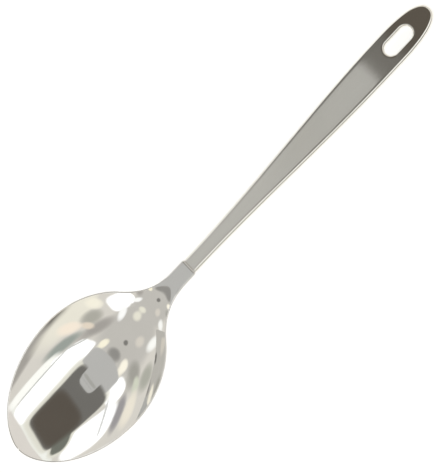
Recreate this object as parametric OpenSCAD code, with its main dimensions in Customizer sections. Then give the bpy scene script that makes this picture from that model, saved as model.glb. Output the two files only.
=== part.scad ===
// Serving spoon in stainless steel: a pressed, mirror-polished bowl with a neck and tang,
// welded into a hollow satin handle made of a front shell and an inset back plate.
// The spoon is drawn along its own rim line, with the tip at zero, and then laid on the table,
// where it rests on the underside of the bowl and on the end of the handle.
// All lengths are in millimetres.

/* [Bowl] */
// Inside width of the bowl at its widest place
bowl_w = 76.9; // [60:0.1:90]
// Distance from the tip of the spoon to the widest place
wide_at = 63; // [56:0.5:70]
// Distance from the widest place to where the rim would close behind it
rear_l = 53.4; // [51:0.1:62]
// Inside depth of the bowl below its rim
bowl_depth = 14.5; // [12:0.5:24]
// Distance from the tip to the deepest place
deep_at = 74; // [56:0.5:80]
// Thickness of the steel blank in the bowl's bottom and in the neck
blank_t = 1.8; // [1.5:0.1:2.4]
// Thickness to which the rim is ground
rim_t = 1; // [0.7:0.1:1.4]

/* [Neck] */
// Width of the neck where it enters the handle
neck_w = 9.5; // [7:0.1:10]
// Distance from the tip to where the bowl begins to flow into the neck
flow_from = 107.8; // [102:0.1:112]
// Distance from the tip to where the neck runs straight
flow_to = 141.2; // [134:0.1:144]
// How much lower the edges of the neck and handle lie than their middle
crown = 0.35; // [0.1:0.05:0.5]
// Length of the groove ground in front of the handle for the weld
weld_groove = 0.6; // [0.4:0.1:1]
// Length of the tang inside the handle
tang_l = 34; // [20:1:50]
// Space between the tang's edges and the handle's walls
tang_gap = 0.2; // [0.1:0.05:0.4]

/* [Handle] */
// Length of the whole spoon along its rim line
spoon_l = 340.4; // [320:0.1:360]
// Distance from the tip to the mouth of the handle
mouth_at = 148; // [146:0.5:156]
// Width of the handle at its mouth
mouth_w = 9.7; // [8.6:0.1:11]
// Width of the handle near its end
grip_w = 19.8; // [15:0.1:24]
// Distance from the tip to where the handle begins to widen
widen_from = 153; // [150:1:170]
// Distance from the tip to where the handle has its full width
widen_to = 304; // [290:1:309]
// Length of the rounded end of the handle
end_l = 30; // [20:0.5:31]
// Depth of the handle
handle_t = 4.5; // [4:0.1:6]
// Radius of the rounded shoulders along the handle
shoulder_r = 1.4; // [1.1:0.1:1.8]
// Thickness of the sheet in the handle's shell and back plate
shell_t = 0.8; // [0.6:0.1:1]
// Space between the back plate and the walls that it is welded to
seam_gap = 0.05; // [0.02:0.01:0.1]
// How far the handle's end would lie above the neck if it weren't bent down
handle_lift = 5.8; // [0:0.1:12]
// Distance from the tip to where the handle begins to bend down
bend_from = 290; // [240:1:300]
// How far the end of the handle is bent down
bend_drop = 3; // [0:0.1:6]

/* [Hanging slot] */
// Length of the slot
slot_l = 18.4; // [14:0.1:22]
// Width of the slot
slot_w = 7.8; // [6:0.1:11]
// Distance from the middle of the slot to the end of the handle
slot_in = 24; // [22:0.1:30]
// Radius of the turned-in edge of the slot
slot_edge_r = 1.2; // [0.9:0.1:1.5]

/* [Smoothness] */
// Points across the bowl, an even number
across_n = 28; // [16:2:36]
// Stations along the front of the bowl
front_n = 26; // [14:2:32]
// Stations along the handle
handle_n = 30; // [16:2:40]

/* [Hidden] */
// Power of the rim's outline, lower for a fuller bowl
rim_power = 0.563;
// Power of the bowl's depth, higher for a flatter bottom
dish_power = 2.3;
// Power of the handle's rounded end, 2 for an ellipse
end_power = 2.4;
// Half the width of the small flat where the two sides of an outline meet
tip_flat = 0.6;
// Rim land that the outside of the bowl adds at the tip
tip_land = rim_t * 0.65;
// Stations along the rear of the bowl, the flow into the neck, the neck and the tang
rear_n = 20;
flow_n = 14;
neck_n = 3;
tang_n = 4;
// Points round each shoulder, round the slot's turned-in edge, along the slot and round the handle's end
shoulder_n = 5;
turn_n = 4;
arc_n = 9;
straight_n = 5;
end_n = 13;
// Angle from the middle of the slot's round ends at which their points begin
arc_first = 4;
// Share of the flat top's half width at which its inner points lie
inner_share = 0.35;
// Length of the weld's slope behind the nose of the back plate
nose_foot = shell_t / 2;
// Radius of the shoulders inside the shell
inner_r = shoulder_r - shell_t;
// Distance behind the deepest place at which the dish would reach the rim
deep_rear_l = rear_l + wide_at - deep_at;
// End of the tang inside the handle
tang_end = mouth_at + tang_l;
slot_at = spoon_l - slot_in;

// Shapes of the outline and of the rim line
function mix(a, b, t) = a + (b - a) * t;
function ease(t) = t * t * (3 - 2 * t);
function clamp01(t) = min(1, max(0, t));
// A curve from y0 to y1 over a run, with a slope at its start and none at its end
function flow(t, run, y0, y1, slope) =
    mix(y0, y1, ease(t)) + slope * run * t * (1 - t) * (1 - t);

function rim_edge(x) = bowl_w / 2 * pow(max(0, 1 - x * x), rim_power);
function rim_slope(x) = -bowl_w * rim_power * x * pow(1 - x * x, rim_power - 1) / rear_l;
function dish_edge(x) = bowl_depth * (1 - pow(abs(x), dish_power));
function dish_slope(x) = -bowl_depth * dish_power * pow(x, dish_power - 1) / deep_rear_l;

flow_x = (flow_from - wide_at) / rear_l;
flow_deep_x = (flow_from - deep_at) / deep_rear_l;
flow_run = flow_to - flow_from;
function flow_share(u) = clamp01((u - flow_from) / flow_run);

// Half the width inside the rim, and the depth of the middle line, at a distance from the tip
function half_w(u) =
    u < wide_at ? rim_edge((wide_at - u) / (wide_at - tip_land)) :
    u < flow_from ? rim_edge((u - wide_at) / rear_l) :
    flow(flow_share(u), flow_run, rim_edge(flow_x), neck_w / 2, rim_slope(flow_x));
function middle_depth(u) =
    u < deep_at ? dish_edge((deep_at - u) / (deep_at - tip_land)) :
    u < flow_from ? dish_edge((u - deep_at) / deep_rear_l) :
    flow(flow_share(u), flow_run, dish_edge(flow_deep_x), 0, dish_slope(flow_deep_x));

// Half the width of the handle without its rounded end, and the height of its top line
function grip_half(u) = mix(mouth_w, grip_w, ease(clamp01((u - widen_from) / (widen_to - widen_from)))) / 2;
function bend_share(u) = max(0, u - bend_from) / (spoon_l - bend_from);
function lift_share(u) = max(0, u - mouth_at) / (spoon_l - mouth_at);
function top_line(u) = handle_lift * pow(lift_share(u), 2) - bend_drop * pow(bend_share(u), 2);

// Surfaces of the blank
// A place s runs from -1 at one edge to 1 at the other
function dish_share(u, s) =
    let (x = pow(max(0, 1 - middle_depth(u) / bowl_depth), 1 / dish_power))
    pow(x * x + (1 - x * x) * s * s, dish_power / 2);
function upper_point(u, s) =
    [u, half_w(u) * s, -bowl_depth * (1 - dish_share(u, s)) - crown * ease(flow_share(u)) * s * s];

function unit(a) = a / norm(a);
function grid_normal(g, i, j) =
    let (i0 = max(0, i - 1), i1 = min(len(g) - 1, i + 1))
    let (j0 = max(0, j - 1), j1 = min(len(g[0]) - 1, j + 1))
    unit(cross(g[i1][j] - g[i0][j], g[i][j1] - g[i][j0]));

first_angle = acos(1 - tip_flat * tip_flat / wide_at / wide_at);
blank_stations = concat(
    [for (i = [0 : front_n]) wide_at - (wide_at - tip_land) * cos(mix(first_angle, 90, i / front_n))],
    [for (i = [1 : rear_n]) mix(wide_at, flow_from, i / rear_n)],
    [for (i = [1 : flow_n]) mix(flow_from, flow_to, i / flow_n)],
    [for (i = [1 : neck_n]) mix(flow_to, mouth_at - weld_groove, i / neck_n)]);
places = [for (j = [0 : across_n]) sin(mix(-90, 90, j / across_n))];
upper_grid = [for (u = blank_stations) [for (s = places) upper_point(u, s)]];
// The rim is ground thinner than the bottom, and the neck keeps the blank's thickness
function blank_thickness(u, s) = mix(mix(blank_t, rim_t, pow(abs(s), 3)), blank_t, ease(flow_share(u)));
lower_grid = [for (i = [0 : len(upper_grid) - 1]) [for (j = [0 : across_n])
    upper_grid[i][j] - grid_normal(upper_grid, i, j) * blank_thickness(blank_stations[i], places[j])]];

// The tang goes on from the neck, one sheet lower and with a rounded end
tang_half = mouth_w / 2 - shell_t - tang_gap;
function tang_point(u, s, drop, share) =
    let (v = tang_half * share * s)
    [u, v, top_line(u) - crown_drop(u, v) - drop];
function crown_drop(u, v) = crown * pow(v / grip_half(u), 2);
tang_stations = concat(
    [for (i = [0 : tang_n]) [mix(mouth_at, tang_end - tang_half, i / tang_n), 1]],
    [for (a = [15 : 15 : 75]) [tang_end - tang_half * (1 - sin(a)), cos(a)]]);
tang_upper = [for (t = tang_stations) [for (s = places) tang_point(t[0], s, shell_t, t[1])]];
tang_lower = [for (t = tang_stations) [for (s = places) tang_point(t[0], s, blank_t, t[1])]];

// Faces of one strip or one square, split in two
function square_faces(a, b, c, d) = [[a, b, c], [a, c, d]];
// A sheet between an upper and a lower grid of points, closed all round
// Where joined is true, its last row turns back on itself and the two halves of that row are joined
// Where hole holds a first and a last row, the middle strip is open there, and rim holds the points
// that lead round the opening from the upper grid down to the lower one
module sheet(upper, lower, joined = false, hole = [], rim = [[]]) {
    rows = len(upper);
    cols = len(upper[0]);
    grid = rows * cols;
    mid = floor(cols / 2) - 1;
    steps = len(rim[0]);
    function at(i, j) = i * cols + j;
    function in_hole(i, j) = len(hole) > 0 && j == mid && i >= hole[0] && i < hole[1];
    function underside(faces) = [for (f = faces) [grid + f[2], grid + f[1], grid + f[0]]];
    function edge_faces(a, b) = square_faces(a, b, grid + b, grid + a);
    top = [for (i = [0 : rows - 2]) for (j = [0 : cols - 2]) if (!in_hole(i, j))
        each square_faces(at(i, j), at(i, j + 1), at(i + 1, j + 1), at(i + 1, j))];
    sides = [for (i = [0 : rows - 2]) each concat(
        edge_faces(at(i, 0), at(i + 1, 0)),
        edge_faces(at(i + 1, cols - 1), at(i, cols - 1)))];
    first_end = [for (j = [0 : cols - 2]) each edge_faces(at(0, j + 1), at(0, j))];
    function last(j) = at(rows - 1, j);
    last_end = [for (j = [0 : cols - 2]) each edge_faces(last(j), last(j + 1))];
    fold = [for (j = [0 : mid - 1]) each square_faces(last(j), last(j + 1), last(cols - 2 - j), last(cols - 1 - j))];
    fold_foot = edge_faces(last(0), last(cols - 1));
    closing = joined ? concat(fold, underside(fold), fold_foot) : last_end;
    ring = len(hole) > 0 ? concat(
        [for (i = [hole[0] : hole[1]]) at(i, mid)],
        [for (i = [hole[1] : -1 : hole[0]]) at(i, mid + 1)]) : [];
    function rim_at(r, k) =
        k == 0 ? ring[r] :
        k > steps ? grid + ring[r] :
        2 * grid + r * steps + k - 1;
    rim_faces = len(hole) > 0 ? [for (r = [0 : len(ring) - 1]) for (k = [0 : steps])
        let (next = (r + 1) % len(ring))
        each square_faces(rim_at(next, k), rim_at(r, k), rim_at(r, k + 1), rim_at(next, k + 1))] : [];
    points = concat([for (r = upper) each r], [for (r = lower) each r], [for (r = rim) each r]);
    polyhedron(points, concat(top, underside(top), sides, first_end, closing, rim_faces), convexity = 8);
}

// Rows across the handle: those of the slot follow its round ends, each with the middle of its arc
// or of its straight stretch, and its direction from there
slot_straight = slot_l - slot_w;
slot_rows = concat(
    [for (k = [0 : arc_n]) let (a = mix(arc_first, 90, k / arc_n)) [-slot_straight / 2, -cos(a), sin(a)]],
    [for (k = [1 : straight_n - 1]) [mix(-slot_straight / 2, slot_straight / 2, k / straight_n), 0, 1]],
    [for (k = [arc_n : -1 : 0]) let (a = mix(arc_first, 90, k / arc_n)) [slot_straight / 2, cos(a), sin(a)]]);
function slot_place(k, side, margin) =
    let (r = slot_rows[k], reach = slot_w / 2 + margin)
    [slot_at + r[0] + r[1] * reach, side * r[2] * reach];
slot_from = slot_place(0, 1, slot_edge_r)[0];
slot_to = slot_place(len(slot_rows) - 1, 1, slot_edge_r)[0];

end_from = spoon_l - end_l;
function end_half(u) = pow(1 - pow(clamp01((u - end_from) / end_l), end_power), 1 / end_power);
function handle_half(u) = grip_half(min(u, end_from)) * end_half(u);
end_first = asin(pow(clamp01((slot_to - end_from) / end_l), end_power / 2));
stations = concat(
    [for (i = [0 : handle_n - 1]) mix(mouth_at, slot_from, i / handle_n)],
    [for (k = [0 : len(slot_rows) - 1]) slot_place(k, 1, slot_edge_r)[0]],
    [for (i = [1 : end_n - 1]) end_from + end_l * pow(sin(mix(end_first, 90, i / end_n)), 2 / end_power)]);
slot_hole = [handle_n, handle_n + len(slot_rows) - 1];
handle_edge = concat([for (u = stations) [u, handle_half(u)]], [[spoon_l, tip_flat]]);
function edge_direction(i) =
    let (a = handle_edge[max(0, i - 1)], b = handle_edge[min(len(handle_edge) - 1, i + 1)])
    i == 0 ? [0, 1] :
    i == len(handle_edge) - 1 ? [1, 0] :
    unit([a[1] - b[1], b[0] - a[0]]);
edge_directions = [for (i = [0 : len(handle_edge) - 1]) edge_direction(i)];
function inset_edge(i, inset) =
    let (p = handle_edge[i] - edge_directions[i] * inset)
    [p[0], max(tip_flat / 2, p[1])];

// A point at a drop from the handle's top surface, and one at a rise from its underside
function under_top(p, drop) = [p[0], p[1], top_line(p[0]) - crown_drop(p[0], p[1]) - drop];
function over_floor(p, rise) = [p[0], p[1], top_line(p[0]) - handle_t + rise];
function sided(p, side) = [p[0], p[1] * side];

// Places across the flat middle of a row, which leave the slot open
function open_row(i, inset, margin) =
    let (e = inset_edge(i, inset))
    i >= slot_hole[0] && i <= slot_hole[1] ? slot_place(i - slot_hole[0], 1, margin) : [e[0], e[1] * inner_share];
function middle_places(i, inset, margin) =
    let (e = inset_edge(i, inset), s = open_row(i, inset, margin), m = (e + s) / 2)
    [sided(m, -1), sided(s, -1), s, m];
function wall(i, side, inset, drop, r) = concat(
    [over_floor(sided(inset_edge(i, inset), side), 0)],
    [for (k = [0 : shoulder_n]) let (a = 90 * k / shoulder_n)
        under_top(sided(inset_edge(i, inset + r * (1 - cos(a))), side), drop + r * (1 - sin(a)))]);
function reversed(list) = [for (k = [len(list) - 1 : -1 : 0]) list[k]];
function shell_row(i, inset, drop, r, margin) = concat(
    wall(i, -1, inset, drop, r),
    [for (p = middle_places(i, inset + r, margin)) under_top(p, drop)],
    reversed(wall(i, 1, inset, drop, r)));
handle_rows = [0 : len(handle_edge) - 1];
shell_outside = [for (i = handle_rows) shell_row(i, 0, 0, shoulder_r, slot_edge_r)];
shell_inside = [for (i = handle_rows) shell_row(i, shell_t, shell_t, inner_r, shell_t)];
// The slot's edge turns in, runs down as a flange and ends level with the back plate
slot_ring = concat(
    [for (k = [0 : len(slot_rows) - 1]) [k, -1]],
    [for (k = [len(slot_rows) - 1 : -1 : 0]) [k, 1]]);
slot_flange = [for (q = slot_ring) concat(
    [for (k = [1 : turn_n]) let (a = 90 * k / turn_n)
        under_top(slot_place(q[0], q[1], slot_edge_r * (1 - sin(a))), slot_edge_r * (1 - cos(a)))],
    [over_floor(slot_place(q[0], q[1], 0), 0), over_floor(slot_place(q[0], q[1], shell_t), 0)])];

// The back plate lies between the walls, and its nose turns up to the tang at the handle's mouth
plate_inset = shell_t + seam_gap;
nose_places = [[mouth_at, 1], [mouth_at + shell_t, 1], [mouth_at + shell_t + nose_foot, 0]];
function nose_row(q) = [for (s = [-1, -0.5, -inner_share, inner_share, 0.5, 1])
    [q[0], s * (mouth_w / 2 - plate_inset), q[1]]];
function nose_point(p) =
    p[2] > 0 ? under_top(p, blank_t + seam_gap) : over_floor(p, shell_t);
function plate_row(i) =
    let (e = inset_edge(i, plate_inset))
    concat([sided(e, -1)], middle_places(i, plate_inset, plate_inset), [e]);
plate_rows = [for (i = [1 : len(handle_edge) - 1]) plate_row(i)];
plate_upper = concat(
    [for (q = nose_places) [for (p = nose_row(q)) nose_point(p)]],
    [for (r = plate_rows) [for (p = r) over_floor(p, shell_t)]]);
plate_lower = concat(
    [for (q = nose_places) [for (p = nose_row(q)) over_floor(p, 0)]],
    [for (r = plate_rows) [for (p = r) over_floor(p, 0)]]);
plate_shift = len(nose_places) - 1;

// The spoon is turned until the bowl and the end of the handle both touch the table
middle = across_n / 2;
end_foot = [spoon_l, 0, top_line(spoon_l) - handle_t];
rest_tilt = max([for (r = lower_grid) atan((end_foot[2] - r[middle][2]) / (end_foot[0] - r[middle][0]))]);
function laid_x(p) = p[0] * cos(rest_tilt) + p[2] * sin(rest_tilt);
function laid_z(p) = p[2] * cos(rest_tilt) - p[0] * sin(rest_tilt);
front_x = min([for (r = concat(upper_grid, lower_grid)) for (p = r) laid_x(p)]);
back_x = max([for (r = shell_outside) for (p = r) laid_x(p)]);
module laid() {
    translate([-(front_x + back_x) / 2, 0, -laid_z(end_foot)]) rotate([0, rest_tilt, 0]) children();
}

module bowl() {
    color([0.82, 0.83, 0.82]) laid() sheet(concat(upper_grid, tang_upper), concat(lower_grid, tang_lower));
}
module handle_front() {
    color([0.7, 0.69, 0.66]) laid()
        sheet(shell_outside, shell_inside, joined = true, hole = slot_hole, rim = slot_flange);
}
module handle_back() {
    color([0.6, 0.59, 0.57]) laid()
        sheet(plate_upper, plate_lower, hole = slot_hole + [plate_shift, plate_shift]);
}

bowl();
handle_front();
handle_back();
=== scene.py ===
import math

import bmesh
import bpy
from mathutils import Matrix, Vector


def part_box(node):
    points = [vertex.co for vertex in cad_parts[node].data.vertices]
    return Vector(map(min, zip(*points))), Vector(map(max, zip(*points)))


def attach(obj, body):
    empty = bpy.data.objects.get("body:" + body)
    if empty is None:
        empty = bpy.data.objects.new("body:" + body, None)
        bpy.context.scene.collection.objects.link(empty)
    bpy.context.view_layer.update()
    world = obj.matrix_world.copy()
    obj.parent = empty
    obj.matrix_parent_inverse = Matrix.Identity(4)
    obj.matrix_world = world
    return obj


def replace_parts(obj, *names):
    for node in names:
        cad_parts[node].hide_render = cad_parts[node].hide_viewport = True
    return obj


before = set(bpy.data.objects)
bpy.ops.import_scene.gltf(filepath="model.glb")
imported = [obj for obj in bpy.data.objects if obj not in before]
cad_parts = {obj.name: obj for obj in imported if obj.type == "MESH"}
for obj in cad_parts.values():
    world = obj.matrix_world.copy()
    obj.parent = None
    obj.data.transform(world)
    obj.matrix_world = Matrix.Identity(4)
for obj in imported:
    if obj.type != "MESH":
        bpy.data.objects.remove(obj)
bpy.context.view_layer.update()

# Sizes of the spoon in millimetres, measured along its own rim line from the tip
MM = 0.001
SPOON_L = 340.4
BOWL_W = 76.9
WIDE_AT = 63.0
REAR_L = 53.4
BOWL_DEPTH = 14.5
DEEP_AT = 74.0
BLANK_T = 1.8
RIM_T = 1.0
NECK_W = 9.5
FLOW_FROM = 107.8
FLOW_TO = 141.2
CROWN = 0.35
WELD_GROOVE = 0.6
TANG_L = 34.0
TANG_GAP = 0.2
MOUTH_AT = 148.0
MOUTH_W = 9.7
GRIP_W = 19.8
WIDEN_FROM = 153.0
WIDEN_TO = 304.0
END_L = 30.0
HANDLE_T = 4.5
SHOULDER_R = 1.4
SHELL_T = 0.8
SEAM_GAP = 0.05
HANDLE_LIFT = 5.8
BEND_FROM = 290.0
BEND_DROP = 3.0
SLOT_L = 18.4
SLOT_W = 7.8
SLOT_IN = 24.0
SLOT_EDGE_R = 1.2
FOOT_R = 0.25
RIM_POWER = 0.563
DISH_POWER = 2.3
END_POWER = 2.4
TIP_FLAT = 0.3

DEEP_REAR_L = REAR_L + WIDE_AT - DEEP_AT
TIP_LAND = RIM_T * 0.655
FLOW_RUN = FLOW_TO - FLOW_FROM
FLOW_X = (FLOW_FROM - WIDE_AT) / REAR_L
FLOW_DEEP_X = (FLOW_FROM - DEEP_AT) / DEEP_REAR_L
END_FROM = SPOON_L - END_L
SLOT_AT = SPOON_L - SLOT_IN
TANG_HALF = MOUTH_W / 2 - SHELL_T - TANG_GAP


class Field:
    """A socket of a node tree whose arithmetic adds Math nodes to that tree."""

    def __init__(self, graph, socket):
        self.graph = graph
        self.socket = socket

    def math(self, operation, *others, clamp=False):
        node = self.graph.tree.nodes.new("ShaderNodeMath")
        node.operation = operation
        node.use_clamp = clamp
        for socket, value in zip(node.inputs, (self, *others)):
            self.graph.feed(socket, value)
        return Field(self.graph, node.outputs[0])

    def __add__(self, other):
        return self.math("ADD", other)

    __radd__ = __add__

    def __sub__(self, other):
        return self.math("SUBTRACT", other)

    def __rsub__(self, other):
        return self.graph.number(other).math("SUBTRACT", self)

    def __mul__(self, other):
        return self.math("MULTIPLY", other)

    __rmul__ = __mul__

    def __truediv__(self, other):
        return self.math("DIVIDE", other)

    def __pow__(self, other):
        return self.math("POWER", other)

    def __neg__(self):
        return self.math("MULTIPLY", -1.0)

    def at_least(self, other):
        return self.math("MAXIMUM", other)

    def at_most(self, other):
        return self.math("MINIMUM", other)

    def sin(self):
        return self.math("SINE")

    def cos(self):
        return self.math("COSINE")

    def share(self, start, end):
        """How far the value has come from start to end, between 0 and 1."""
        return ((self - start) / (end - start)).math("ADD", 0.0, clamp=True)


class Graph:
    """Adds nodes to a tree: a type, then its settings, then its sockets by name or number."""

    def __init__(self, tree):
        self.tree = tree

    def feed(self, socket, value):
        if isinstance(value, Field):
            self.tree.links.new(value.socket, socket)
        else:
            socket.default_value = value

    def node(self, kind, settings=None, sockets=None, output=0):
        made = self.tree.nodes.new(kind)
        for name, value in (settings or {}).items():
            setattr(made, name, value)
        for name, value in (sockets or {}).items():
            self.feed(made.inputs[name], value)
        return Field(self, made.outputs[output])

    def number(self, value):
        return value if isinstance(value, Field) else self.node("ShaderNodeMath", {}, {0: value, 1: 0.0})

    def vector(self, x, y, z):
        return self.node("ShaderNodeCombineXYZ", {}, {"X": x, "Y": y, "Z": z})

    def parts(self, vector):
        made = self.tree.nodes.new("ShaderNodeSeparateXYZ")
        self.feed(made.inputs[0], vector)
        return [Field(self, socket) for socket in made.outputs]

    def combine(self, operation, *vectors, output=0):
        sockets = dict(enumerate(vectors))
        return self.node("ShaderNodeVectorMath", {"operation": operation}, sockets, output)

    def scaled(self, vector, factor):
        return self.node("ShaderNodeVectorMath", {"operation": "SCALE"}, {0: vector, "Scale": factor})


def mix(a, b, t):
    return a + (b - a) * t


def ease(t):
    return t * t * (3.0 - 2.0 * t)


def flow(t, run, y0, y1, slope):
    """A curve from y0 to y1 over a run, with a slope at its start and none at its end."""
    return mix(y0, y1, ease(t)) + t * (1.0 - t) * (1.0 - t) * (slope * run)


def share_of(value, start, end):
    """The same share as Field.share, for plain numbers."""
    if isinstance(value, Field):
        return value.share(start, end)
    return min(1.0, max(0.0, (value - start) / (end - start)))


def at_least(value, floor):
    return value.at_least(floor) if isinstance(value, Field) else max(value, floor)


def rim_edge(x2):
    return BOWL_W / 2 * at_least(1.0 - x2, 0.0) ** RIM_POWER


def rim_slope(x):
    return -BOWL_W * RIM_POWER * x * (1 - x * x) ** (RIM_POWER - 1) / REAR_L


def dish_slope(x):
    return -BOWL_DEPTH * DISH_POWER * x ** (DISH_POWER - 1) / DEEP_REAR_L


def reach(u, turn, front_l, rear_l):
    """The share of the way to the tip, or to the rear, squared where needed by the caller."""
    return 1.0 - share_of(u, turn - front_l, turn), share_of(u, turn, turn + rear_l)


def half_w(u):
    """Half the width inside the rim at a distance from the tip, for a number or a field."""
    front, rear = reach(u, WIDE_AT, WIDE_AT - TIP_LAND, REAR_L)
    rear = rear.at_most(FLOW_X) if isinstance(rear, Field) else min(rear, FLOW_X)
    t = share_of(u, FLOW_FROM, FLOW_TO)
    return flow(t, FLOW_RUN, rim_edge(front * front + rear * rear), NECK_W / 2, rim_slope(FLOW_X))


def middle_depth(u):
    """Depth of the bowl's middle line below its rim at a distance from the tip."""
    front, rear = reach(u, DEEP_AT, DEEP_AT - TIP_LAND, DEEP_REAR_L)
    rear = rear.at_most(FLOW_DEEP_X) if isinstance(rear, Field) else min(rear, FLOW_DEEP_X)
    t = share_of(u, FLOW_FROM, FLOW_TO)
    dish = (1.0 - front ** DISH_POWER - rear ** DISH_POWER) * BOWL_DEPTH
    return flow(t, FLOW_RUN, dish, 0.0, dish_slope(FLOW_DEEP_X))


def grip_half(u):
    """Half the width of the handle without its rounded end."""
    return mix(MOUTH_W, GRIP_W, ease(share_of(u, WIDEN_FROM, WIDEN_TO))) / 2


def handle_half(u):
    x = share_of(u, END_FROM, SPOON_L)
    return grip_half(min(u, END_FROM)) * (1 - x ** END_POWER) ** (1 / END_POWER)


def top_line(u):
    lift = HANDLE_LIFT * share_of(u, MOUTH_AT, SPOON_L) ** 2
    return lift - BEND_DROP * share_of(u, BEND_FROM, SPOON_L) ** 2


# The rounded rim and the finer underside are kept inside the plainer solid
RIM_INSET = 0.008
RIM_DROP = 0.075
UNDER_INSET = 0.004
# Places around a section of the blank, as shares of the loop: over the top, round one rim,
# back underneath and round the other rim
LOOP_STEPS = 96
TOP_STEPS = 42
RIM_STEPS = 6
# Rows from the tip to the widest place, on to the weld groove, over it, and along the tang
FRONT_ROWS = 56
REAR_ROWS = 96
GROOVE_ROWS = 2
TANG_ROWS = 20


def pressed_blank(graph):
    """The bowl, neck and tang as one thick sheet, drawn by a rule over a grid of rows and loops."""
    rows = FRONT_ROWS + REAR_ROWS + GROOVE_ROWS + TANG_ROWS
    grid = graph.node("GeometryNodeMeshGrid", {}, {
        "Size X": 1.0, "Size Y": 1.0, "Vertices X": rows + 1, "Vertices Y": LOOP_STEPS + 1})
    x, y, _ = graph.parts(graph.node("GeometryNodeInputPosition"))
    row = (x + 0.5) * rows
    step = (y + 0.5) * LOOP_STEPS
    first = math.sqrt(2 * TIP_FLAT / WIDE_AT)
    half_loop = TOP_STEPS + RIM_STEPS
    over = step.share(0, TOP_STEPS) - step.share(half_loop, half_loop + TOP_STEPS)
    round_rim = step.share(TOP_STEPS, half_loop) + step.share(half_loop + TOP_STEPS, LOOP_STEPS)
    side = (over * math.pi - math.pi / 2).sin()
    turn = round_rim * math.pi

    def along(at):
        groove_row = FRONT_ROWS + REAR_ROWS
        tang_row = groove_row + GROOVE_ROWS
        angle = mix(first * 0.12, math.pi / 2, at.share(0, FRONT_ROWS))
        front = angle.cos() * -(WIDE_AT - TIP_LAND) + WIDE_AT
        rear = at.share(FRONT_ROWS, groove_row) * (MOUTH_AT - WELD_GROOVE - WIDE_AT)
        groove = at.share(groove_row, tang_row) * WELD_GROOVE
        return front + rear + groove + at.share(tang_row, rows) * TANG_L

    def surface(at, s):
        u = along(at)
        tang = u.share(MOUTH_AT - WELD_GROOVE, MOUTH_AT)
        round_end = u.share(MOUTH_AT + TANG_L - TANG_HALF, MOUTH_AT + TANG_L)
        end_share = at_least(1.0 - round_end * round_end, 0.0001) ** 0.5
        half = mix(half_w(u), TANG_HALF, tang) * end_share
        depth = middle_depth(u)
        middle = at_least(1.0 - depth / BOWL_DEPTH, 0.0) ** (1 / DISH_POWER)
        middle2 = middle * middle
        dish = (middle2 + (1.0 - middle2) * (s * s)) ** (DISH_POWER / 2)
        crown = ease(u.share(FLOW_FROM, FLOW_TO)) * (s * s) * CROWN * mix(1.0, (2 * TANG_HALF / MOUTH_W) ** 2, tang)
        lift = u.share(MOUTH_AT, SPOON_L) * u.share(MOUTH_AT, SPOON_L) * HANDLE_LIFT
        rim_drop = dish * (1.0 - ease(u.share(FLOW_FROM, FLOW_TO))) * RIM_DROP
        height = (1.0 - dish) * -BOWL_DEPTH - rim_drop - crown - tang * SHELL_T + lift
        return graph.vector(u, half * s, height)

    inner = 1.0 - RIM_INSET * (1.0 - ease(along(row).share(FLOW_FROM, FLOW_TO)))
    s = side * inner
    here = surface(row, s)
    ahead = graph.combine("SUBTRACT", surface(row + 0.2, s), surface(row - 0.2, s))
    across = graph.combine("SUBTRACT", surface(row, s + 0.01), surface(row, s - 0.01))
    normal = graph.combine("NORMALIZE", graph.combine("CROSS_PRODUCT", ahead, across))
    outward = graph.combine("CROSS_PRODUCT", normal, graph.combine("NORMALIZE", ahead))
    u = along(row)
    thickness = mix(BLANK_T - UNDER_INSET, RIM_T, s * s * s.math("ABSOLUTE"))
    thickness = mix(thickness, BLANK_T, ease(u.share(FLOW_FROM, FLOW_TO)))
    thickness = mix(thickness, BLANK_T - SHELL_T, u.share(MOUTH_AT - WELD_GROOVE, MOUTH_AT))
    half_t = thickness / 2
    sunk = graph.scaled(normal, (turn.cos() - 1.0) * half_t)
    rounded = graph.scaled(outward, turn.sin() * half_t)
    place = graph.combine("ADD", here, graph.combine("ADD", sunk, rounded))
    return graph.node("GeometryNodeSetPosition", {}, {"Geometry": grid, "Position": place})


def made_by_rule(name, rule, material):
    """A mesh made by Geometry Nodes from a rule, in millimetres along the spoon's own line."""
    tree = bpy.data.node_groups.new(name, "GeometryNodeTree")
    tree.interface.new_socket("Geometry", in_out="OUTPUT", socket_type="NodeSocketGeometry")
    graph = Graph(tree)
    shape = rule(graph)
    merged = graph.node("GeometryNodeMergeByDistance", {}, {"Geometry": shape, "Distance": 0.0005})
    real = graph.node("GeometryNodeRealizeInstances", {}, {"Geometry": merged})
    finished = graph.node("GeometryNodeSetMaterial", {}, {"Geometry": real, "Material": material})
    output = tree.nodes.new("NodeGroupOutput")
    tree.links.new(finished.socket, output.inputs[0])
    holder = bpy.data.objects.new(name, bpy.data.meshes.new(name))
    bpy.context.collection.objects.link(holder)
    modifier = holder.modifiers.new("rule", "NODES")
    modifier.node_group = tree
    evaluated = holder.evaluated_get(bpy.context.evaluated_depsgraph_get())
    mesh = bpy.data.meshes.new_from_object(evaluated)
    holder.modifiers.remove(modifier)
    holder.data = mesh
    return holder


def loop_ends(mesh):
    """Closes the open loops at the two ends of the sheet and turns its faces outward."""
    shape = bmesh.new()
    shape.from_mesh(mesh)
    open_edges = [edge for edge in shape.edges if edge.is_boundary]
    bmesh.ops.holes_fill(shape, edges=open_edges, sides=0)
    bmesh.ops.recalc_face_normals(shape, faces=shape.faces)
    shape.to_mesh(mesh)
    shape.free()


def smooth(mesh, sharp_from):
    """Shades a mesh smooth but for its edges sharper than an angle in degrees."""
    mesh.polygons.foreach_set("use_smooth", [True] * len(mesh.polygons))
    mesh.set_sharp_from_angle(angle=math.radians(sharp_from))


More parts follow.
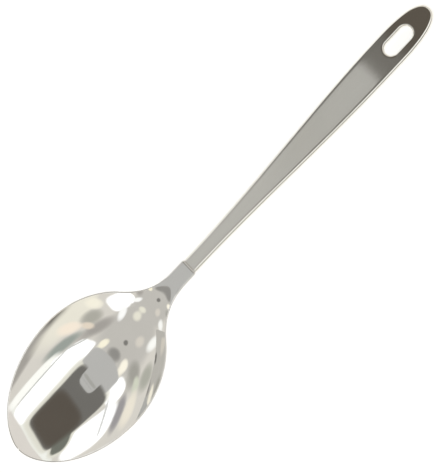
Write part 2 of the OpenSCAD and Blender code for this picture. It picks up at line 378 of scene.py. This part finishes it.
# The handle's rows: the slot's rows follow its round ends, the others run straight across
HANDLE_ROWS = 150
ARC_ROWS = 18
STRAIGHT_ROWS = 10
END_ROWS = 40
SHOULDER_STEPS = 8
TURN_STEPS = 8
ARC_FIRST = 4.0
INNER_SHARE = 0.35


def slot_rows():
    """For each row of the slot the middle of its arc or straight stretch, and its direction from there."""
    straight = SLOT_L - SLOT_W
    arc = [math.radians(mix(ARC_FIRST, 90, k / ARC_ROWS)) for k in range(ARC_ROWS + 1)]
    near = [(-straight / 2, -math.cos(a), math.sin(a)) for a in arc]
    between = [(mix(-straight / 2, straight / 2, k / STRAIGHT_ROWS), 0.0, 1.0) for k in range(1, STRAIGHT_ROWS)]
    far = [(straight / 2, math.cos(a), math.sin(a)) for a in reversed(arc)]
    return near + between + far


SLOT_ROWS = slot_rows()


def slot_place(k, side, margin):
    middle, along, across = SLOT_ROWS[k]
    radius = SLOT_W / 2 + margin
    return SLOT_AT + middle + along * radius, side * across * radius


def handle_edge():
    """Places on the handle's outline, one for each row."""
    slot_from = slot_place(0, 1, SLOT_EDGE_R)[0]
    slot_to = slot_place(len(SLOT_ROWS) - 1, 1, SLOT_EDGE_R)[0]
    end_first = math.asin(share_of(slot_to, END_FROM, SPOON_L) ** (END_POWER / 2))
    before = [mix(MOUTH_AT, slot_from, i / HANDLE_ROWS) for i in range(HANDLE_ROWS)]
    beside = [slot_place(k, 1, SLOT_EDGE_R)[0] for k in range(len(SLOT_ROWS))]
    turns = [mix(end_first, math.pi / 2, i / END_ROWS) for i in range(1, END_ROWS)]
    beyond = [END_FROM + END_L * math.sin(turn) ** (2 / END_POWER) for turn in turns]
    return [(u, handle_half(u)) for u in before + beside + beyond] + [(SPOON_L, TIP_FLAT)]


HANDLE_EDGE = handle_edge()
SLOT_HOLE = (HANDLE_ROWS, HANDLE_ROWS + len(SLOT_ROWS) - 1)


def inset_edge(i, inset):
    """A place inside the outline, by a distance square to it."""
    u, half = HANDLE_EDGE[i]
    before, after = HANDLE_EDGE[max(0, i - 1)], HANDLE_EDGE[min(len(HANDLE_EDGE) - 1, i + 1)]
    outward = Vector((before[1] - after[1], after[0] - before[0])).normalized()
    if i == 0:
        outward = Vector((0.0, 1.0))
    if i == len(HANDLE_EDGE) - 1:
        outward = Vector((1.0, 0.0))
    return u - outward.x * inset, max(TIP_FLAT / 2, half - outward.y * inset)


def crown_drop(u, v):
    return CROWN * (v / grip_half(u)) ** 2


def under_top(place, drop):
    u, v = place
    return Vector((u, v, top_line(u) - crown_drop(u, v) - drop))


def over_floor(place, rise):
    u, v = place
    return Vector((u, v, top_line(u) - HANDLE_T + rise))


def middle_places(i, inset, margin):
    """Places across the flat of a row, which leave the slot open."""
    edge = inset_edge(i, inset)
    inner = (edge[0], edge[1] * INNER_SHARE)
    if SLOT_HOLE[0] <= i <= SLOT_HOLE[1]:
        inner = slot_place(i - SLOT_HOLE[0], 1, margin)
    half = [(mix(inner[0], edge[0], k / 4), mix(inner[1], edge[1], k / 4)) for k in range(4)]
    return [(u, -v) for u, v in reversed(half)] + half


def wall(i, side, inset, drop, radius):
    """Places up one wall and round its shoulder."""
    foot = inset_edge(i, inset)
    places = [over_floor((foot[0], side * foot[1]), 0.0)]
    for k in range(SHOULDER_STEPS + 1):
        turn = math.pi / 2 * k / SHOULDER_STEPS
        u, v = inset_edge(i, inset + radius * (1 - math.cos(turn)))
        places.append(under_top((u, side * v), drop + radius * (1 - math.sin(turn))))
    return places


def shell_row(i, inset, drop, radius, margin):
    flat = [under_top(place, drop) for place in middle_places(i, inset + radius, margin)]
    return wall(i, -1, inset, drop, radius) + flat + wall(i, 1, inset, drop, radius)[::-1]


def slot_flange():
    """Places from the slot's turned-in edge down to the back plate, all round the slot."""
    ring = [(k, -1) for k in range(len(SLOT_ROWS))] + [(k, 1) for k in reversed(range(len(SLOT_ROWS)))]
    flange = []
    for k, side in ring:
        turned = []
        for step in range(1, TURN_STEPS + 1):
            turn = math.pi / 2 * step / TURN_STEPS
            place = slot_place(k, side, SLOT_EDGE_R * (1 - math.sin(turn)))
            turned.append(under_top(place, SLOT_EDGE_R * (1 - math.cos(turn))))
        foot = [over_floor(slot_place(k, side, 0.0), 0.0), over_floor(slot_place(k, side, SHELL_T), 0.0)]
        flange.append(turned + foot)
    return flange


def sheet(name, upper, lower, joined, hole, rim, material):
    """A closed sheet between two grids of points, with the slot's opening in its middle strip.

    Where joined is true the last row turns back on itself round the handle's end."""
    shape = bmesh.new()
    over = [[shape.verts.new(point) for point in row] for row in upper]
    under = [[shape.verts.new(point) for point in row] for row in lower]
    cols = len(upper[0])
    middle = cols // 2 - 1

    def strips(grid):
        for i in range(len(grid) - 1):
            for j in range(cols - 1):
                if j != middle or not hole[0] <= i < hole[1]:
                    shape.faces.new((grid[i][j], grid[i][j + 1], grid[i + 1][j + 1], grid[i + 1][j]))
        if joined:
            last = grid[-1]
            for j in range(middle):
                shape.faces.new((last[j], last[j + 1], last[cols - 2 - j], last[cols - 1 - j]))

    strips(over)
    strips(under)
    first = [(over[0][j], under[0][j]) for j in range(cols)]
    left = [(over[i][0], under[i][0]) for i in range(len(over))]
    right = [(over[i][-1], under[i][-1]) for i in range(len(over))]
    last = [(over[-1][j], under[-1][j]) for j in range(cols)]
    ends = [(last[0], last[-1])] if joined else list(zip(last, last[1:]))
    for a, b in list(zip(first, first[1:])) + list(zip(left, left[1:])) + list(zip(right, right[1:])) + ends:
        shape.faces.new((a[0], b[0], b[1], a[1]))
    rows = range(hole[0], hole[1] + 1)
    ring = [(over[i][middle], under[i][middle]) for i in rows]
    ring += [(over[i][middle + 1], under[i][middle + 1]) for i in reversed(rows)]
    lines = [[top] + [shape.verts.new(p) for p in points] + [foot] for (top, foot), points in zip(ring, rim)]
    for a, b in zip(lines, lines[1:] + lines[:1]):
        for k in range(len(a) - 1):
            shape.faces.new((a[k], b[k], b[k + 1], a[k + 1]))
    bmesh.ops.recalc_face_normals(shape, faces=shape.faces)
    mesh = bpy.data.meshes.new(name)
    shape.to_mesh(mesh)
    shape.free()
    mesh.materials.append(material)
    piece = bpy.data.objects.new(name, mesh)
    bpy.context.collection.objects.link(piece)
    return piece


def front_shell(material):
    rows = range(len(HANDLE_EDGE))
    outside = [shell_row(i, 0.0, 0.0, SHOULDER_R, SLOT_EDGE_R) for i in rows]
    inside = [shell_row(i, SHELL_T, SHELL_T, SHOULDER_R - SHELL_T, SHELL_T) for i in rows]
    return sheet("front_shell", outside, inside, True, SLOT_HOLE, slot_flange(), material)


def back_plate(material):
    """The plate between the walls, with its nose turned up to the tang at the handle's mouth."""
    inset = SHELL_T + SEAM_GAP

    def nose(u, up):
        half = MOUTH_W / 2 - inset
        places = [(u, half * s / 4.5) for s in (-4.5, -3.5, -2.5, -1.5, -0.5, 0.5, 1.5, 2.5, 3.5, 4.5)]
        if up:
            return [under_top(place, BLANK_T + SEAM_GAP) for place in places]
        return [over_floor(place, SHELL_T) for place in places]

    def row(i):
        edge = inset_edge(i, inset)
        return [(edge[0], -edge[1])] + middle_places(i, inset, inset) + [edge]

    flat = [row(i) for i in range(1, len(HANDLE_EDGE))]
    stations = [(MOUTH_AT, True), (MOUTH_AT + SHELL_T, True), (MOUTH_AT + SHELL_T * 1.2, False)]
    upper = [nose(u, up) for u, up in stations]
    lower = [[over_floor((p.x, p.y), 0.0) for p in points] for points in upper]
    first = [i for i, places in enumerate(flat) if places[0][0] > stations[-1][0]][0]
    flat = flat[first:]
    upper += [[over_floor(place, SHELL_T) for place in places] for places in flat]
    lower += [[over_floor(place, 0.0) for place in places] for places in flat]
    shift = len(stations) - 1 - first
    hole = (SLOT_HOLE[0] + shift, SLOT_HOLE[1] + shift)
    rim = [[] for _ in range(2 * len(SLOT_ROWS))]
    return sheet("back_plate", upper, lower, False, hole, rim, material)


def laid():
    """The turn and shift that lay the spoon on the table, on its bowl and its handle's end."""
    end_u, end_w = SPOON_L, top_line(SPOON_L) - HANDLE_T
    steps = [DEEP_AT - 40 + 0.1 * k for k in range(600)]
    tilt = max(math.atan((end_w + middle_depth(u) + BLANK_T) / (end_u - u)) for u in steps)
    turn = Matrix.Rotation(tilt, 4, "Y")
    end_x = (turn @ Vector((SPOON_L, 0.0, top_line(SPOON_L) - SHOULDER_R))).x
    end_z = (turn @ Vector((end_u, 0.0, end_w))).z
    shift = Vector((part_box("handle_front")[1].x / MM - end_x, 0.0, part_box("handle_front")[0].z / MM - end_z))
    return Matrix.Scale(MM, 4) @ Matrix.Translation(shift) @ turn


LAID = laid()


def lay(piece):
    piece.data.transform(LAID)
    return piece


def new_material(name):
    material = bpy.data.materials.new(name)
    material.use_nodes = True
    material.node_tree.nodes.clear()
    return material, Graph(material.node_tree)


def finish_steel(graph, color, roughness, normal):
    shader = graph.node("ShaderNodeBsdfPrincipled", {}, {
        "Base Color": color, "Metallic": 1.0, "Roughness": roughness, "Normal": normal})
    output = graph.tree.nodes.new("ShaderNodeOutputMaterial")
    graph.tree.links.new(shader.socket, output.inputs["Surface"])


def noise(graph, place, scale, detail=2.0):
    sockets = {"Vector": place, "Scale": scale, "Detail": detail}
    return graph.node("ShaderNodeTexNoise", {}, sockets)


def tinted(graph, share, dark, light):
    """A colour between two, by a share between 0 and 1."""
    made = graph.tree.nodes.new("ShaderNodeMix")
    made.data_type = "RGBA"
    graph.feed(made.inputs[0], share)
    graph.feed(made.inputs[6], dark)
    graph.feed(made.inputs[7], light)
    return Field(graph, made.outputs[2])


def polished_steel():
    """Mirror-polished stainless steel with very faint hazy marks from the polishing wheel."""
    material, graph = new_material("polished_steel")
    place = graph.node("ShaderNodeTexCoord", {}, {}, "Object")
    haze = noise(graph, graph.scaled(place, 60.0), 1.0)
    marks = noise(graph, graph.combine("MULTIPLY", place, (90.0, 700.0, 90.0)), 1.0)
    color = tinted(graph, haze, (0.86, 0.86, 0.85, 1.0), (0.92, 0.92, 0.91, 1.0))
    roughness = 0.02 + haze * 0.03
    bump = graph.node("ShaderNodeBump", {}, {"Strength": 0.02, "Distance": 0.0002, "Height": marks})
    finish_steel(graph, color, roughness, bump)
    return material


def satin_steel():
    """Finely brushed stainless steel whose lines run along the handle."""
    material, graph = new_material("satin_steel")
    place = graph.node("ShaderNodeTexCoord", {}, {}, "Object")
    lines = noise(graph, graph.combine("MULTIPLY", place, (40.0, 2500.0, 2500.0)), 1.0)
    haze = noise(graph, graph.scaled(place, 45.0), 1.0)
    color = tinted(graph, haze, (0.86, 0.86, 0.82, 1.0), (0.93, 0.91, 0.87, 1.0))
    roughness = 0.07 + lines * 0.05
    bump = graph.node("ShaderNodeBump", {}, {"Strength": 0.05, "Distance": 0.0001, "Height": lines})
    finish_steel(graph, color, roughness, bump)
    return material


# The tent is mapped by the angle from the point overhead, in degrees: x towards the handle's end,
# y to the spoon's left. Each patch of it has a tone as the polished bowl shows it (0 to 255), a middle,
# half sizes, a turn, a squareness (2 is an ellipse) and the softness of its edge.
POLISH = 0.85
TENT_TONE = (208, 204, 196)
TENT_PATCHES = [
    # far walls, low down
    ((118, 115, 109), (-10, -71), (70, 14), 0, 4, 0.3),
    ((160, 156, 150), (6, -54), (26, 6), 20, 3, 0.7),
    ((212, 207, 200), (27, 5), (5, 55), 0, 4, 0.4),
    ((236, 237, 230), (22, 12), (2.5, 42), 0, 4, 0.6),
    # the room on the handle's side, with its windows
    ((186, 183, 177), (-46, 14), (34, 32), 0, 3, 0.5),
    ((228, 224, 210), (-42, -52), (34, 8), 5, 3, 0.8),
    ((160, 156, 151), (-30, -23), (17, 7), -12, 2, 0.9),
    ((168, 166, 157), (-38, -37), (11, 8), 0, 2, 0.9),
    ((222, 209, 192), (-27, -33), (4, 6), 0, 2, 0.9),
    ((242, 229, 212), (-21, -44), (6, 7), 20, 2, 0.9),
    ((240, 235, 218), (-55, -45), (7, 7), 0, 2, 0.9),
    ((255, 255, 255), (-69, -25), (12, 11), -30, 3, 0.4),
    ((248, 248, 246), (-58, -14), (11, 4), 15, 2, 0.8),
    ((224, 221, 206), (-65, 5), (6, 6), 0, 2, 0.9),
    ((244, 244, 240), (-60, 47), (11, 5), -22, 2, 0.9),
    ((158, 156, 149), (-25, 45), (8, 11), 0, 2, 0.9),
    ((168, 168, 158), (-39, 63), (11, 8), 0, 2, 0.9),
    ((202, 205, 188), (-25, 56), (4, 6), 0, 2, 0.9),
    ((230, 223, 208), (-20, 69), (5, 9), -10, 2, 0.9),
    ((208, 202, 192), (-46, 28), (7, 5), -35, 2, 0.95),
    ((140, 138, 134), (-17, 12), (4, 6), 0, 2, 0.9),
    ((247, 241, 225), (-18, 27), (5, 5), 0, 2, 0.7),
    ((243, 237, 215), (-18, -3), (5, 4), 0, 2, 0.7),
    ((122, 120, 116), (-31.5, 13.5), (2.8, 2.8), 0, 2, 0.7),
    # long lamp on the spoon's right, with the seams beside it
    ((150, 156, 150), (-10, -35), (9, 5), -20, 2, 0.8),
    ((250, 250, 244), (9, -32), (14, 4), 0, 3, 0.6),
    ((255, 255, 255), (4.5, -17), (19.5, 10.5), 0, 5, 0.15),
    ((255, 255, 255), (-7, -23), (9, 5), -38, 3, 0.2),
    ((196, 197, 193), (4, -28.6), (15, 0.7), 0, 3, 0.6),
    ((196, 197, 193), (-12.6, -24.8), (5, 0.7), -45, 3, 0.6),
    # long lamp on the spoon's left
    ((152, 149, 150), (-13, 62), (3.5, 11), -12, 2, 0.7),
    ((255, 255, 255), (-11.5, 40), (4.6, 9.5), 8, 3, 0.3),
    ((255, 255, 255), (2, 56), (13, 12), -18, 3, 0.3),
    ((205, 205, 203), (-5.5, 53), (0.6, 12), -14, 3, 0.6),
    # the tent's dark opening above the camera, with the pale flap along its edge
    ((218, 216, 204), (7, 15.5), (16, 24.5), 0, 8, 0.4),
    ((218, 216, 204), (13, 40), (6, 13), -22, 3, 0.4),
    ((176, 175, 172), (-10.9, 13), (3, 19), 0, 8, 0.3),
    ((108, 106, 102), (6.6, 17.5), (14.3, 22.5), 0, 9, 0.2),
    ((110, 112, 104), (13.5, 41), (4.5, 9.5), -20, 3, 0.3),
    ((88, 82, 75), (11.5, 17), (8.5, 21), 0, 5, 0.6),
    # the flap's loose corner, which the handle mirrors
    ((176, 175, 172), (-7.2, 12.5), (3.9, 9), 0, 4, 0.15),
    ((160, 159, 154), (-6.3, 12.5), (0.5, 8), 0, 4, 0.5),
    ((158, 158, 155), (-5.03, 12.5), (0.07, 8), 0, 4, 0.4),
]


def light_for(tone):
    """The light that polished steel shows as a tone between 0 and 255."""
    return tuple((part / 255) ** 2.2 / POLISH * (1.15 if part == 255 else 1.0) for part in tone) + (1.0,)


def tent_light(graph):
    """The tent's light in every direction, patch over patch."""
    direction = graph.combine("NORMALIZE", graph.node("ShaderNodeTexCoord", {}, {}, "Generated"))
    x, y, z = graph.parts(direction)
    degrees = z.math("ARCCOSINE") * (180 / math.pi)
    spread = degrees / (x * x + y * y).math("SQRT").at_least(0.0001)
    plan = graph.vector(x * spread, y * spread, 0.0)
    light = light_for(TENT_TONE)
    for tone, middle, half, turn, squareness, softness in TENT_PATCHES:
        own = graph.node("ShaderNodeMapping", {"vector_type": "TEXTURE"}, {
            "Vector": plan, "Location": (*middle, 0.0), "Rotation": (0.0, 0.0, math.radians(turn)),
            "Scale": (*half, 1.0)})
        across, along, _ = graph.parts(graph.combine("ABSOLUTE", own))
        reach = across ** squareness + along ** squareness
        inside = 1.0 - reach.share(1 - softness, 1 + softness * squareness / 2)
        light = tinted(graph, ease(inside), light, light_for(tone))
    return light


def white_tent():
    """White to the camera, and the tent's own patches to the steel."""
    world = bpy.data.worlds.new("white_tent")
    bpy.context.scene.world = world
    world.use_nodes = True
    world.node_tree.nodes.clear()
    graph = Graph(world.node_tree)
    tent = graph.node("ShaderNodeBackground", {}, {"Color": tent_light(graph), "Strength": 1.0})
    white = graph.node("ShaderNodeBackground", {}, {"Color": (1.0, 1.0, 1.0, 1.0), "Strength": 1.0})
    seen = graph.node("ShaderNodeLightPath", {}, {}, "Is Camera Ray")
    both = graph.node("ShaderNodeMixShader", {}, {0: seen, 1: tent, 2: white})
    output = graph.tree.nodes.new("ShaderNodeOutputWorld")
    graph.tree.links.new(both.socket, output.inputs["Surface"])


def table_top():
    """The white table, which only shows the spoon's soft shadow."""
    material, graph = new_material("white_table")
    diffuse = graph.node("ShaderNodeBsdfDiffuse", {}, {"Color": (0.8, 0.8, 0.8, 1.0)})
    glow = graph.node("ShaderNodeEmission", {}, {"Color": (1.0, 1.0, 1.0, 1.0), "Strength": 0.55})
    both = graph.node("ShaderNodeAddShader", {}, {0: diffuse, 1: glow})
    output = graph.tree.nodes.new("ShaderNodeOutputMaterial")
    graph.tree.links.new(both.socket, output.inputs["Surface"])
    mesh = bpy.data.meshes.new("table")
    half = 1.5
    mesh.from_pydata([(-half, -half, 0), (half, -half, 0), (half, half, 0), (-half, half, 0)], [], [(0, 1, 2, 3)])
    mesh.materials.append(material)
    table = bpy.data.objects.new("table", mesh)
    bpy.context.collection.objects.link(table)


CAMERA_AZ = 137.99
CAMERA_EL = 71.2
CAMERA_ROLL = -94.08
CAMERA_F = 1515.9
CAMERA_AT = (202.4, -182.2, 805.4)
CAMERA_SHIFT = (-0.5, 0.46)


def camera():
    """The camera looks down along the spoon, turned so that the handle rises to the right."""
    az, el, roll = (math.radians(a) for a in (CAMERA_AZ, CAMERA_EL, CAMERA_ROLL))
    ahead = Vector((math.cos(az) * math.cos(el), math.sin(az) * math.cos(el), -math.sin(el)))
    level = ahead.cross(Vector((0, 0, 1))).normalized()
    above = level.cross(ahead)
    right = level * math.cos(roll) + above * math.sin(roll)
    up = above * math.cos(roll) - level * math.sin(roll)
    data = bpy.data.cameras.new("camera")
    data.sensor_width = 36.0
    data.lens = CAMERA_F / 473 * 36
    data.shift_x = -CAMERA_SHIFT[0] / 473
    data.shift_y = CAMERA_SHIFT[1] / 473
    data.clip_start = 0.01
    made = bpy.data.objects.new("camera", data)
    turn = Matrix((right, up, -ahead)).transposed().to_4x4()
    place = Vector(CAMERA_AT) * MM
    made.matrix_world = Matrix.Translation(place) @ turn
    bpy.context.collection.objects.link(made)
    bpy.context.scene.camera = made


bright = polished_steel()
satin = satin_steel()

blank = made_by_rule("pressed_blank", pressed_blank, bright)
loop_ends(blank.data)
smooth(blank.data, 60)
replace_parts(lay(blank), "bowl")

shell = front_shell(satin)
smooth(shell.data, 40)
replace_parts(lay(shell), "handle_front")

plate = back_plate(satin)
smooth(plate.data, 40)
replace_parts(lay(plate), "handle_back")

for piece in (blank, shell, plate):
    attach(piece, "root")

white_tent()
table_top()
camera()

bpy.context.scene.render.resolution_x = 440
bpy.context.scene.render.resolution_y = 473
bpy.context.scene.view_settings.view_transform = "Standard"
